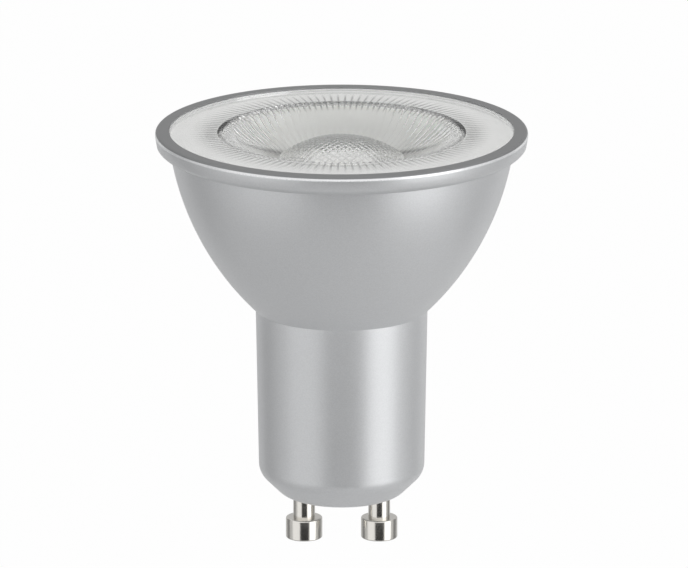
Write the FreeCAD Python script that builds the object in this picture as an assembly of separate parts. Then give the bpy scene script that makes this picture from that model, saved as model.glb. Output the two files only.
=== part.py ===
import FreeCAD, Part
import os
from math import atan2, cos, hypot, pi, sin, sqrt, tan

from FreeCAD import Vector

# A twist-lock LED spotlight. Millimetres. The origin is on the lamp's axis at the pin tips,
# +Z points to the lens, and the two pins stand on the X axis.

# Housing heights, which add up from the pin tips to the rim
pin_length = 6.1
base_height = 3.3
neck_length = 22.3
bowl_height = 21.7
rim_underside_height = 0.75
rim_band_height = 1.9

# Housing outline
base_face_diameter = 15.4
neck_bottom_diameter = 22.0
neck_top_diameter = 22.8
rim_diameter = 49.5
rim_draft = 0.31
rim_overhang = 1.75
bowl_bulge = 2.0
rim_underside_bulge = 0.28
base_corner_radius = 3.0
neck_corner_radius = 2.6
rim_edge_radius = 0.5
wall = 1.3
base_thickness = 1.8

# Lens
rim_ring_width = 1.95
lens_recess = 0.25
lens_clearance = 0.1
lens_edge_thickness = 1.0
lens_depth = 11.3
cup_diameter = 31.8
cup_depth = 3.4
dome_diameter = 16.4
dome_height = 2.65
rib_count = 120
rib_groove_depth = 0.12
rib_groove_share = 0.5
rib_inner_margin = 1.6
rib_outer_margin = 1.2
scallop_reach = 0.75
scallop_share = 0.84
facet_count = 80
facet_rows = 6
collimator_margin = 6.5
collimator_bulge = 1.9
collar_wall = 1.1
collar_step = 0.3
collar_height = 1.3
light_well_diameter = 7.6
light_well_depth = 3.2
light_well_crown = 0.8

# Heat path under the lens
led_side = 8.0
led_thickness = 0.8
led_clearance = 0.35
phosphor_diameter = 5.8
phosphor_thickness = 0.3
led_board_diameter = 30.0
led_board_thickness = 1.2
thermal_pad_diameter = 26.0
thermal_pad_thickness = 0.3
cup_wall = 0.6
cup_floor_thickness = 1.2
cup_mouth_clearance = 0.3
cup_board_clearance = 0.3
cup_bend_radius = 0.5

# Screws of the LED board
screw_circle_diameter = 23.0
screw_diameter = 2.0
screw_head_diameter = 3.8
screw_head_height = 1.2
screw_point = 0.4
screw_slot_width = 0.5
screw_slot_depth = 0.6
screw_slot_margin = 0.5
screw_clearance = 0.1

# Contact pins
pin_spacing = 10.0
pin_head_diameter = 4.86
pin_head_height = 2.83
pin_head_edge = 0.2
pin_neck_diameter = 2.9
pin_clearance = 0.05
pin_flange_diameter = 4.2
pin_flange_height = 0.6
pin_tail_diameter = 2.4
pin_tail_length = 1.6
pin_bore_depth = 4.2

# Driver board and the guides that hold it in the neck
board_offset = 2.5
board_thickness = 1.2
board_edge_clearance = 0.35
board_foot_gap = 0.7
board_top_gap = 1.75
guide_thickness = 0.9
guide_depth = 1.2
guide_clearance = 0.1

# Wires and leads
wire_diameter = 1.0
wire_clearance = 0.1
wire_bend = 1.5
wire_foot = 2.0
wire_stub = 0.8
led_wire_spacing = 13.0
led_wire_offset = 7.0
led_wire_drop = 1.5
led_wire_stub = 0.6
lead_diameter = 0.6
lead_bend = 0.8
lead_reach = 0.9
solder_height = 0.5
solder_spread = 0.5
solder_clearance = 0.03

# Parts on the tall side of the driver board
row_side_step = 4.1
varistor_diameter = 6.0
varistor_thickness = 3.0
varistor_lift = 0.5
varistor_pitch = 4.0
inductor_diameter = 6.4
inductor_height = 6.0
inductor_flange = 0.8
inductor_core_diameter = 3.4
winding_diameter = 5.8
winding_clearance = 0.05
inductor_pitch = 3.5
film_width = 6.4
film_depth = 4.5
film_height = 6.0
film_edge = 0.5
film_pitch = 4.0
capacitor_diameter = 8.0
capacitor_length = 10.0
capacitor_edge = 0.6
capacitor_lift = 0.2
capacitor_pitch = 3.5
seal_diameter = 6.6
seal_thickness = 0.6
seal_clearance = 0.05
resistor_diameter = 2.4
resistor_length = 6.0
resistor_cap_length = 1.3
resistor_waist = 0.2
resistor_lift = 0.3
resistor_side_step = 6.2

# Parts on the flat side of the driver board
chip_width = 3.9
chip_length = 4.9
chip_height = 1.5
chip_legs = 4
chip_leg_pitch = 1.27
rectifier_width = 3.9
rectifier_length = 4.7
rectifier_height = 2.4
rectifier_legs = 2
rectifier_leg_pitch = 2.5
leg_width = 0.4
leg_thickness = 0.2
leg_reach = 1.0
leg_foot = 0.5
package_lift = 0.15
rectifier_side_step = 4.0
diode_width = 2.6
diode_length = 4.3
diode_height = 2.2
diode_edge = 0.25
diode_side_step = 4.0
chip_resistor_length = 2.0
chip_resistor_width = 1.25
chip_resistor_height = 0.5
chip_resistor_count = 3
chip_resistor_pitch = 2.2
chip_resistor_side_step = 4.3

# Places that follow from the sizes above
AXIS = Vector(0, 0, 1)
NORTH = Vector(0, 1, 0)
EAST = Vector(1, 0, 0)
base_face_z = pin_length
neck_bottom_z = base_face_z + base_height
neck_top_z = neck_bottom_z + neck_length
bowl_top_z = neck_top_z + bowl_height
rim_band_z = bowl_top_z + rim_underside_height
rim_z = rim_band_z + rim_band_height
rim_radius = rim_diameter / 2
rim_band_radius = rim_radius - rim_draft
bowl_top_radius = rim_band_radius - rim_overhang
base_face_radius = base_face_diameter / 2
neck_bottom_radius = neck_bottom_diameter / 2
neck_top_radius = neck_top_diameter / 2
bore_radius = neck_bottom_radius - wall
floor_z = base_face_z + base_thickness
seat_radius = rim_radius - rim_ring_width
lens_face_z = rim_z - lens_recess
seat_z = lens_face_z - lens_edge_thickness
cup_seat_z = seat_z - cup_wall
lens_radius = seat_radius - lens_clearance
collimator_radius = lens_radius - collimator_margin
led_board_top_z = lens_face_z - lens_depth
led_board_z = led_board_top_z - led_board_thickness
cup_floor_z = led_board_z - thermal_pad_thickness
cup_bottom_z = cup_floor_z - cup_floor_thickness
chamfer_slope = base_height / (neck_bottom_radius - base_face_radius)
chamfer_lift = wall * hypot(1, chamfer_slope)
bore_foot_z = neck_bottom_z + chamfer_slope * (bore_radius - neck_bottom_radius) + chamfer_lift
floor_radius = neck_bottom_radius + (floor_z - chamfer_lift - neck_bottom_z) / chamfer_slope
board_north = -board_offset + board_thickness / 2
board_south = -board_offset - board_thickness / 2
board_half_width = sqrt(bore_radius ** 2 - board_south ** 2) - board_edge_clearance
board_bottom_z = bore_foot_z + board_foot_gap
board_top_z = cup_bottom_z - board_top_gap
capacitor_drop = lead_reach + lead_bend
row_heights = varistor_diameter + inductor_diameter + capacitor_drop + capacitor_length
row_gap = (board_top_z - board_bottom_z - row_heights) / 4
varistor_z = board_bottom_z + row_gap + varistor_diameter / 2
inductor_z = varistor_z + varistor_diameter / 2 + row_gap + inductor_diameter / 2
capacitor_bottom_z = inductor_z + inductor_diameter / 2 + row_gap + capacitor_drop
capacitor_middle_z = capacitor_bottom_z + capacitor_length / 2
capacitor_y = board_north + capacitor_lift + capacitor_diameter / 2
resistor_middle_z = capacitor_bottom_z + resistor_length / 2
resistor_y = board_north + resistor_lift + resistor_diameter / 2
pin_wire_z = board_bottom_z + wire_foot
led_wire_z = board_top_z - led_wire_drop
rectifier_z = (pin_wire_z + inductor_z) / 2
collar_radius = led_side / sqrt(2) + led_clearance + collar_wall
collimator_foot_radius = collar_radius + collar_step
hole_radius = wire_diameter / 2 + wire_clearance


# Drawing helpers
def flat(r, z):
    """Point of the r-z half plane in which round pieces are drawn."""
    return Vector(r, 0, z)


def arc_middle(start, end, bulge):
    """Middle of the arc that stands off its chord by bulge, to the right going from start to end."""
    along = (end - start).normalize()
    return (start + end) / 2 + Vector(along.z, 0, -along.x) * bulge


def arc_circle(start, end, bulge):
    """Centre and radius of that arc."""
    half_chord = (end - start).Length / 2
    radius = (half_chord ** 2 + bulge ** 2) / (2 * bulge)
    along = (end - start).normalize()
    return (start + end) / 2 - Vector(along.z, 0, -along.x) * (radius - bulge), radius


class Outline:
    """Closed outline in the r-z half plane, drawn edge by edge and turned about the lamp's axis."""

    def __init__(self, r, z):
        self.first = flat(r, z)
        self.here = self.first
        self.edges = []

    def line(self, r, z):
        end = flat(r, z)
        self.edges.append(Part.LineSegment(self.here, end).toShape())
        self.here = end
        return self

    def arc(self, r, z, bulge):
        end = flat(r, z)
        self.edges.append(Part.Arc(self.here, arc_middle(self.here, end, bulge), end).toShape())
        self.here = end
        return self

    def corner(self, r, z, next_r, next_z, radius):
        """Go to a corner that is rounded off on the way to the next point."""
        tip = flat(r, z)
        back = (self.here - tip).normalize()
        ahead = (flat(next_r, next_z) - tip).normalize()
        half_angle = back.getAngle(ahead) / 2
        start = tip + back * (radius / tan(half_angle))
        end = tip + ahead * (radius / tan(half_angle))
        middle = tip + (back + ahead).normalize() * (radius / sin(half_angle) - radius)
        self.line(start.x, start.z)
        self.edges.append(Part.Arc(start, middle, end).toShape())
        self.here = end
        return self

    def turned(self):
        self.line(self.first.x, self.first.z)
        return Part.Face(Part.Wire(self.edges)).revolve(Vector(), AXIS, 360)


def rod(diameter, length, place, direction=AXIS):
    return Part.makeCylinder(diameter / 2, length, place, direction)


def block(width, depth, height, middle):
    """Box of x, y and z sizes about its middle point."""
    corner = middle - Vector(width, depth, height) / 2
    return Part.makeBox(width, depth, height, corner)


def swept(diameter, start, corner, end, bend):
    """Round wire from start to end, with one bend at the corner."""
    back = (start - corner).normalize()
    ahead = (end - corner).normalize()
    inner = corner + (back + ahead) * bend
    middle = inner - (back + ahead).normalize() * bend
    first = Part.LineSegment(start, corner + back * bend).toShape()
    turn = Part.Arc(corner + back * bend, middle, corner + ahead * bend).toShape()
    last = Part.LineSegment(corner + ahead * bend, end).toShape()
    section = Part.Wire(Part.makeCircle(diameter / 2, start, -back))
    return Part.Wire([first, turn, last]).makePipeShell([section], True, False)


def turns(shape, count):
    """Copies of a shape, evenly spaced about the lamp's axis."""
    copies = []
    for step in range(count):
        copy = shape.copy()
        copy.rotate(Vector(), AXIS, 360 * step / count)
        copies.append(copy)
    return copies


def along_y(shape, x, y, z):
    """A piece that was turned about Z from z = 0, laid along +Y from the given place."""
    placed = shape.copy()
    placed.rotate(Vector(), EAST, -90)
    placed.translate(Vector(x, y, z))
    return placed


def group(solids):
    return Part.makeCompound(solids)


# Housing
def bowl_inside(offset):
    """Centre and radius of the bowl's arc, moved in by an offset from the outer face."""
    start = flat(neck_top_radius, neck_top_z)
    centre, radius = arc_circle(start, flat(bowl_top_radius, bowl_top_z), bowl_bulge)
    return centre, radius - offset


def bowl_radius(z, offset):
    centre, radius = bowl_inside(offset)
    return centre.x + sqrt(radius ** 2 - (z - centre.z) ** 2)


def bowl_sagitta(low, high, offset):
    """Bulge of the part of the moved arc that runs between two points on it."""
    centre, radius = bowl_inside(offset)
    return radius - ((low + high) / 2 - centre).Length


def housing_body():
    centre, radius = bowl_inside(wall)
    bore_top = flat(bore_radius, centre.z - sqrt(radius ** 2 - (bore_radius - centre.x) ** 2))
    bowl_mouth = flat(bowl_radius(cup_seat_z, wall), cup_seat_z)
    outline = Outline(0, base_face_z)
    outline.corner(base_face_radius, base_face_z, neck_bottom_radius, neck_bottom_z, base_corner_radius)
    outline.corner(neck_bottom_radius, neck_bottom_z, neck_top_radius, neck_top_z, neck_corner_radius)
    outline.line(neck_top_radius, neck_top_z)
    outline.arc(bowl_top_radius, bowl_top_z, bowl_bulge)
    outline.arc(rim_band_radius, rim_band_z, rim_underside_bulge)
    outline.corner(rim_radius, rim_z, seat_radius, rim_z, rim_edge_radius)
    outline.line(seat_radius, rim_z)
    outline.line(seat_radius, cup_seat_z)
    outline.line(bowl_mouth.x, bowl_mouth.z)
    outline.arc(bore_top.x, bore_top.z, -bowl_sagitta(bore_top, bowl_mouth, wall))
    outline.line(bore_radius, bore_foot_z)
    outline.line(floor_radius, floor_z)
    outline.line(0, floor_z)
    return outline.turned()


def board_guides():
    """Slots of the neck wall, closed at the foot, that hold the edges of the driver board."""
    slot_width = board_thickness + 2 * guide_clearance
    guide_width = slot_width + 2 * guide_thickness
    inner_x = board_half_width - guide_depth
    outer_x = bore_radius + wall
    length = neck_top_z - bore_foot_z
    shell = rod(2 * bore_radius + wall, length, Vector(0, 0, bore_foot_z))
    slot_z = board_bottom_z + length / 2
    solids = []
    for side in (-1, 1):
        middle = Vector(side * (inner_x + outer_x) / 2, -board_offset, bore_foot_z + length / 2)
        guide = block(outer_x - inner_x, guide_width, length, middle)
        slot = block(outer_x - inner_x, slot_width, length, Vector(middle.x, middle.y, slot_z))
        solids.append(guide.cut(slot).common(shell))
    return solids


def make_housing():
    body = housing_body().fuse(board_guides())
    holes = []
    for side in (-1, 1):
        foot = Vector(side * pin_spacing / 2, 0, base_face_z - pin_clearance)
        length = base_thickness + 2 * pin_clearance
        holes.append(rod(pin_neck_diameter + 2 * pin_clearance, length, foot))
    return body.cut(holes).removeSplitter()


# Contact pins
def make_pin(side):
    neck_radius = pin_neck_diameter / 2
    tail_z = floor_z + pin_flange_height + pin_tail_length
    outline = Outline(0, 0)
    head_radius = pin_head_diameter / 2
    outline.corner(head_radius, 0, head_radius, pin_head_height, pin_head_edge)
    outline.corner(head_radius, pin_head_height, neck_radius, pin_head_height, pin_head_edge)
    outline.line(neck_radius, pin_head_height)
    outline.line(neck_radius, floor_z)
    outline.line(pin_flange_diameter / 2, floor_z)
    outline.line(pin_flange_diameter / 2, floor_z + pin_flange_height)
    outline.line(pin_tail_diameter / 2, floor_z + pin_flange_height)
    outline.line(pin_tail_diameter / 2, tail_z)
    outline.line(hole_radius, tail_z)
    outline.line(hole_radius, tail_z - pin_bore_depth)
    outline.line(0, tail_z - pin_bore_depth)
    pin = outline.turned()
    pin.translate(Vector(side * pin_spacing / 2, 0, 0))
    return pin


def make_pin_wire(side):
    """Wire from the bottom of the pin's bore, up and through the driver board."""
    x = side * pin_spacing / 2
    bore_z = floor_z + pin_flange_height + pin_tail_length - pin_bore_depth
    bend_corner = Vector(x, 0, pin_wire_z)
    return swept(wire_diameter, Vector(x, 0, bore_z), bend_corner,
                 Vector(x, board_south - wire_stub, pin_wire_z), wire_bend)


# Lens
def lens_collimator():
    """Faceted cone behind the lens face, as flat panels between rings of corners."""
    top = flat(collimator_radius, seat_z)
    foot = flat(collimator_foot_radius, led_board_top_z + collar_height)
    centre, radius = arc_circle(foot, top, collimator_bulge)
    foot_turn = atan2(foot.z - centre.z, foot.x - centre.x)
    top_turn = atan2(top.z - centre.z, top.x - centre.x)
    rings = []
    for row in range(facet_rows + 1):
        turn = foot_turn + (top_turn - foot_turn) * row / facet_rows
        ring_radius = centre.x + radius * cos(turn)
        z = centre.z + radius * sin(turn)
        corners = []
        for step in range(facet_count + 1):
            angle = 2 * pi * step / facet_count
            corners.append(Vector(ring_radius * cos(angle), ring_radius * sin(angle), z))
        rings.append(Part.makePolygon(corners))
    return Part.makeLoft(rings, True, True)


def lens_recess_cutter():
    """Space over the cup and the dome."""
    cup_radius = cup_diameter / 2
    cup_floor = lens_face_z - cup_depth
    outline = Outline(0, cup_floor + dome_height)
    outline.arc(dome_diameter / 2, cup_floor, -dome_height_bulge())
    outline.line(cup_radius, lens_face_z)
    outline.line(cup_radius, rim_z)
    outline.line(0, rim_z)
    return outline.turned()


def dome_height_bulge():
    """Bulge of half the dome's arc, from its top to its edge."""
    half_width = dome_diameter / 2
    radius = (half_width ** 2 + dome_height ** 2) / (2 * dome_height)
    return radius - sqrt(radius ** 2 - (hypot(half_width, dome_height) / 2) ** 2)


def light_well_cutter():
    """Pocket for the light source, with the domed well above it."""
    pocket_roof = led_board_top_z + collar_height
    well_radius = light_well_diameter / 2
    well_shoulder = pocket_roof + light_well_depth
    well_top = well_shoulder + light_well_crown
    half_chord = hypot(well_radius, light_well_crown) / 2
    crown_radius = (well_radius ** 2 + light_well_crown ** 2) / (2 * light_well_crown)
    outline = Outline(0, led_board_top_z)
    outline.line(collar_radius - collar_wall, led_board_top_z)
    outline.line(collar_radius - collar_wall, pocket_roof)
    outline.line(well_radius, pocket_roof)
    outline.line(well_radius, well_shoulder)
    outline.arc(0, well_top, crown_radius - sqrt(crown_radius ** 2 - half_chord ** 2))
    return outline.turned()


def rib_groove():
    """Wedge between two ribs of the lens ring, wider towards the rim."""
    ends = []
    for radius in (cup_diameter / 2 + rib_inner_margin, lens_radius - rib_outer_margin):
        half_width = rib_groove_share * pi * radius / rib_count
        low = Vector(radius, 0, lens_face_z - rib_groove_depth)
        left = Vector(radius, -2 * half_width, lens_face_z + rib_groove_depth)
        right = Vector(radius, 2 * half_width, lens_face_z + rib_groove_depth)
        ends.append(Part.makePolygon([low, left, right, low]))
    return Part.makeLoft(ends, True, True)


def edge_scallop():
    """Round gouge across the cup's edge, between two rib grooves."""
    cup_radius = cup_diameter / 2
    wall_slope = cup_depth / (cup_radius - dome_diameter / 2)
    inner = flat(cup_radius - scallop_reach, lens_face_z - wall_slope * scallop_reach)
    outer = flat(cup_radius + rib_inner_margin, lens_face_z)
    along = (outer - inner).normalize()
    upward = Vector(-along.z, 0, along.x)
    edge_height = upward.dot(flat(cup_radius, lens_face_z) - inner)
    half_width = scallop_share * pi * cup_radius / rib_count
    radius = (half_width ** 2 + edge_height ** 2) / (2 * edge_height)
    gouge = rod(2 * radius, (outer - inner).Length, inner + upward * radius, along)
    gouge.rotate(Vector(), AXIS, 180 / rib_count)
    return gouge


def make_lens():
    flange = rod(2 * lens_radius, lens_edge_thickness, Vector(0, 0, seat_z))
    collar = rod(2 * collar_radius, collar_height, Vector(0, 0, led_board_top_z))
    body = flange.fuse([lens_collimator(), collar])
    body = body.cut([lens_recess_cutter(), light_well_cutter()])
    body = body.cut(turns(rib_groove(), rib_count))
    return body.cut(turns(edge_scallop(), rib_count)).removeSplitter()


# Heat path
def through_holes(diameter, x, y, low_z, high_z):
    """Hole cutters at plus and minus x."""
    length = high_z - low_z
    return [rod(diameter, length, Vector(side * x, y, low_z)) for side in (-1, 1)]


def led_wire_holes(low_z, high_z):
    return through_holes(2 * hole_radius, led_wire_spacing / 2, led_wire_offset, low_z, high_z)


def screw_places():
    return [Vector(0, side * screw_circle_diameter / 2, 0) for side in (-1, 1)]


def screw_holes(low_z, high_z):
    diameter = screw_diameter + 2 * screw_clearance
    return [rod(diameter, high_z - low_z, place + AXIS * low_z) for place in screw_places()]


def make_heat_sink_cup():
    """Pressed cup whose flange lies between the lens and the ledge of the housing."""
    mouth = collimator_radius + cup_mouth_clearance
    foot_radius = led_board_diameter / 2 + cup_board_clearance
    outer_bend = cup_bend_radius + cup_wall
    outline = Outline(0, cup_bottom_z)
    outline.corner(foot_radius + cup_wall, cup_bottom_z, mouth + cup_wall, cup_seat_z, outer_bend)
    outline.corner(mouth + cup_wall, cup_seat_z, lens_radius, cup_seat_z, cup_bend_radius)
    outline.line(lens_radius, cup_seat_z)
    outline.line(lens_radius, seat_z)
    outline.line(mouth, seat_z)
    outline.line(foot_radius, cup_floor_z)
    outline.line(0, cup_floor_z)
    holes = led_wire_holes(cup_bottom_z, cup_floor_z) + screw_holes(cup_bottom_z, cup_floor_z)
    return outline.turned().cut(holes)


def make_thermal_pad():
    pad = rod(thermal_pad_diameter, thermal_pad_thickness, Vector(0, 0, cup_floor_z))
    return pad.cut(led_wire_holes(cup_floor_z, led_board_z) + screw_holes(cup_floor_z, led_board_z))


def make_led_board():
    board = rod(led_board_diameter, led_board_thickness, Vector(0, 0, led_board_z))
    return board.cut(led_wire_holes(led_board_z, led_board_top_z) + screw_holes(led_board_z, led_board_top_z))


def make_led_substrate():
    return block(led_side, led_side, led_thickness, Vector(0, 0, led_board_top_z + led_thickness / 2))


def make_led_phosphor():
    return rod(phosphor_diameter, phosphor_thickness, Vector(0, 0, led_board_top_z + led_thickness))


def make_board_screws():
    shank_z = cup_bottom_z - screw_point
    head_top = led_board_top_z + screw_head_height
    slot_length = screw_head_diameter - 2 * screw_slot_margin
    solids = []
    for place in screw_places():
        shank = rod(screw_diameter, led_board_top_z - shank_z, place + AXIS * shank_z)
        head = rod(screw_head_diameter, screw_head_height, place + AXIS * led_board_top_z)
        middle = place + AXIS * (head_top - screw_slot_depth / 2)
        slots = [block(slot_length, screw_slot_width, screw_slot_depth, middle),
                 block(screw_slot_width, slot_length, screw_slot_depth, middle)]
        solids.append(shank.fuse(head).cut(slots))
    return group(solids)


# Wires from the driver board to the LED board
def make_led_wire(side):
    x = side * led_wire_spacing / 2
    bend_corner = Vector(x, led_wire_offset, led_wire_z)
    return swept(wire_diameter, Vector(x, board_south - wire_stub, led_wire_z), bend_corner,
                 Vector(x, led_wire_offset, led_board_top_z + led_wire_stub), wire_bend)


# Places on the driver board where a lead or wire goes through, as (x, z) pairs
def wire_places():
    pins = [(side * pin_spacing / 2, pin_wire_z) for side in (-1, 1)]
    leds = [(side * led_wire_spacing / 2, led_wire_z) for side in (-1, 1)]
    return pins + leds


def upright_lead_places():
    """Straight leads, which go from the board into the part above it."""
    places = []
    for side in (-1, 1):
        places.append((0, varistor_z + side * varistor_pitch / 2))
        places.append((row_side_step + side * inductor_pitch / 2, inductor_z))
        places.append((-row_side_step + side * film_pitch / 2, inductor_z))
    return places


def capacitor_lead_places():
    z = capacitor_bottom_z - capacitor_drop
    return [(side * capacitor_pitch / 2, z) for side in (-1, 1)]


def resistor_lead_places():
    reach = resistor_length / 2 + capacitor_drop
    return [(resistor_side_step, resistor_middle_z + side * reach) for side in (-1, 1)]


def lead_places():
    return upright_lead_places() + capacitor_lead_places() + resistor_lead_places()


def make_driver_board():
    height = board_top_z - board_bottom_z
    middle = Vector(0, -board_offset, (board_top_z + board_bottom_z) / 2)
    board = block(2 * board_half_width, board_thickness, height, middle)
    holes = []
    for x, z in wire_places():
        holes.append(rod(2 * hole_radius, board_thickness, Vector(x, board_south, z), NORTH))
    for x, z in lead_places():
        diameter = lead_diameter + 2 * wire_clearance
        holes.append(rod(diameter, board_thickness, Vector(x, board_south, z), NORTH))
    return board.cut(holes)


# Parts on the tall side of the driver board
def make_varistor():
    centre = Vector(-varistor_thickness / 2, board_north + varistor_lift + varistor_diameter / 2, varistor_z)
    disc = rod(varistor_diameter, varistor_thickness, centre, EAST)
    return disc.makeFillet(varistor_thickness / 4, disc.Edges[0:1] + disc.Edges[2:3])


def make_inductor_core():
    radius = inductor_diameter / 2
    core_radius = inductor_core_diameter / 2
    outline = Outline(0, 0).line(radius, 0).line(radius, inductor_flange)
    outline.line(core_radius, inductor_flange).line(core_radius, inductor_height - inductor_flange)
    outline.line(radius, inductor_height - inductor_flange).line(radius, inductor_height)
    outline.line(0, inductor_height)
    return along_y(outline.turned(), row_side_step, board_north, inductor_z)


def make_inductor_winding():
    low = inductor_flange + winding_clearance
    high = inductor_height - inductor_flange - winding_clearance
    inner = inductor_core_diameter / 2 + winding_clearance
    outline = Outline(inner, low).line(winding_diameter / 2, low)
    outline.line(winding_diameter / 2, high).line(inner, high)
    return along_y(outline.turned(), row_side_step, board_north, inductor_z)


def make_film_capacitor():
    middle = Vector(-row_side_step, board_north + film_depth / 2, inductor_z)
    body = block(film_width, film_depth, film_height, middle)
    upright = [edge for edge in body.Edges if abs(edge.tangentAt(edge.FirstParameter).y) > 0.5]
    return body.makeFillet(film_edge, upright)


def make_smoothing_capacitor():
    radius = capacitor_diameter / 2
    outline = Outline(0, seal_thickness).line(seal_diameter / 2, seal_thickness).line(seal_diameter / 2, 0)
    outline.corner(radius, 0, radius, capacitor_length, capacitor_edge)
    outline.corner(radius, capacitor_length, 0, capacitor_length, capacitor_edge)
    outline.line(0, capacitor_length)
    can = outline.turned()
    can.translate(Vector(0, capacitor_y, capacitor_bottom_z))
    return can


def make_capacitor_seal():
    return rod(seal_diameter - 2 * seal_clearance, seal_thickness,
               Vector(0, capacitor_y, capacitor_bottom_z))


def make_fusible_resistor():
    radius = resistor_diameter / 2
    waist = radius - resistor_waist
    shoulder = resistor_cap_length + resistor_waist
    outline = Outline(0, 0)
    outline.corner(radius, 0, radius, resistor_cap_length, resistor_waist)
    outline.line(radius, resistor_cap_length).line(waist, shoulder)
    outline.line(waist, resistor_length - shoulder).line(radius, resistor_length - resistor_cap_length)
    outline.corner(radius, resistor_length, 0, resistor_length, resistor_waist)
    outline.line(0, resistor_length)
    body = outline.turned()
    body.translate(Vector(resistor_side_step, resistor_y, capacitor_bottom_z))
    return body


# Parts on the flat side of the driver board
def package(width, length, height, x, z):
    """Moulded package that stands just off the board on its legs."""
    return block(width, height, length, Vector(x, board_south - package_lift - height / 2, z))


def make_driver_chip():
    return package(chip_width, chip_length, chip_height, 0, capacitor_middle_z)


def make_bridge_rectifier():
    return package(rectifier_width, rectifier_length, rectifier_height, -rectifier_side_step, rectifier_z)


def make_freewheel_diode():
    middle = Vector(diode_side_step, board_south - diode_height / 2, rectifier_z)
    body = block(diode_width, diode_height, diode_length, middle)
    far_edges = [edge for edge in body.Edges if edge.BoundBox.YMax < middle.y]
    return body.makeChamfer(diode_edge, far_edges)


def make_chip_resistors():
    solids = []
    first_z = capacitor_middle_z - (chip_resistor_count - 1) * chip_resistor_pitch / 2
    for side in (-1, 1):
        for step in range(chip_resistor_count):
            middle = Vector(side * chip_resistor_side_step, board_south - chip_resistor_height / 2,
                            first_z + step * chip_resistor_pitch)
            solids.append(block(chip_resistor_length, chip_resistor_height, chip_resistor_width, middle))
    return group(solids)


def gull_leg(side, body_width, body_height):
    """Leg that leaves the package at half height, steps down and lies on the board."""
    root = side * body_width / 2
    knee = root + side * (leg_reach - leg_foot)
    toe = root + side * leg_reach
    root_y = board_south - package_lift - body_height / 2
    drop = Vector(0, -leg_thickness, 0)
    thickness = Vector(side * leg_thickness, 0, 0) + drop
    near = [Vector(root, root_y), Vector(knee, root_y), Vector(knee, board_south), Vector(toe, board_south)]
    far = [near[3] + drop, near[2] + thickness, near[1] + thickness, near[0] + drop]
    return Part.Face(Part.makePolygon(near + far + near[:1])).extrude(AXIS * leg_width)


def package_legs(count, pitch, body_width, body_height, x, z):
    legs = []
    for side in (-1, 1):
        for step in range(count):
            leg = gull_leg(side, body_width, body_height)
            leg.translate(Vector(x, 0, z + (step - (count - 1) / 2) * pitch - leg_width / 2))
            legs.append(leg)
    return legs


def make_component_leads(bodies):
    """All tinned leads and legs, cut where they enter their parts."""
    stub_y = board_south - wire_stub
    solids = []
    for x, z in upright_lead_places():
        reach = varistor_lift + varistor_diameter / 2
        solids.append(rod(lead_diameter, board_north + reach - stub_y, Vector(x, stub_y, z), NORTH))
    for x, z in capacitor_lead_places():
        solids.append(swept(lead_diameter, Vector(x, stub_y, z), Vector(x, capacitor_y, z),
                            Vector(x, capacitor_y, capacitor_bottom_z), lead_bend))
    for x, z in resistor_lead_places():
        solids.append(swept(lead_diameter, Vector(x, stub_y, z), Vector(x, resistor_y, z),
                            Vector(x, resistor_y, resistor_middle_z), lead_bend))
    trimmed = [solid.cut(bodies) for solid in solids]
    trimmed += package_legs(chip_legs, chip_leg_pitch, chip_width, chip_height, 0, capacitor_middle_z)
    trimmed += package_legs(rectifier_legs, rectifier_leg_pitch, rectifier_width, rectifier_height,
                            -rectifier_side_step, rectifier_z)
    return group([solid for shape in trimmed for solid in shape.Solids])


# Solder
def solder_cone(core_diameter):
    """Cone with a hole for its lead, from z = 0 up."""
    hole = core_diameter / 2 + solder_clearance
    outline = Outline(hole, 0).line(hole + solder_spread, 0)
    outline.line(hole + solder_clearance, solder_height).line(hole, solder_height)
    return outline.turned()


def make_solder_joints():
    solids = []
    for diameter, places in ((wire_diameter, wire_places()), (lead_diameter, lead_places())):
        for x, z in places:
            cone = solder_cone(diameter)
            cone.rotate(Vector(), EAST, 90)
            cone.translate(Vector(x, board_south, z))
            solids.append(cone)
    for side in (-1, 1):
        cone = solder_cone(wire_diameter)
        cone.translate(Vector(side * led_wire_spacing / 2, led_wire_offset, led_board_top_z))
        solids.append(cone)
    return group(solids)


def build():
    tall_parts = {
        "varistor": make_varistor(),
        "inductor_core": make_inductor_core(),
        "inductor_winding": make_inductor_winding(),
        "film_capacitor": make_film_capacitor(),
        "smoothing_capacitor": make_smoothing_capacitor(),
        "capacitor_seal": make_capacitor_seal(),
        "fusible_resistor": make_fusible_resistor(),
    }
    return {
        "housing": make_housing(),
        "lens": make_lens(),
        "left_contact_pin": make_pin(-1),
        "right_contact_pin": make_pin(1),
        "heat_sink_cup": make_heat_sink_cup(),
        "thermal_pad": make_thermal_pad(),
        "led_board": make_led_board(),
        "led_substrate": make_led_substrate(),
        "led_phosphor": make_led_phosphor(),
        "board_screws": make_board_screws(),
        "driver_board": make_driver_board(),
        **tall_parts,
        "bridge_rectifier": make_bridge_rectifier(),
        "driver_chip": make_driver_chip(),
        "freewheel_diode": make_freewheel_diode(),
        "chip_resistors": make_chip_resistors(),
        "component_leads": make_component_leads(list(tall_parts.values())),
        "live_wire": make_pin_wire(-1),
        "neutral_wire": make_pin_wire(1),
        "led_wire_positive": make_led_wire(-1),
        "led_wire_negative": make_led_wire(1),
        "solder_joints": make_solder_joints(),
    }


os.makedirs("parts", exist_ok=True)
for name, shape in build().items():
    shape.exportStep("parts/" + name + ".step")
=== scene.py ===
"""Looks of a twist-lock LED spotlight: painted housing, moulded lens, plated pins and the parts inside."""

import math

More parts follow.
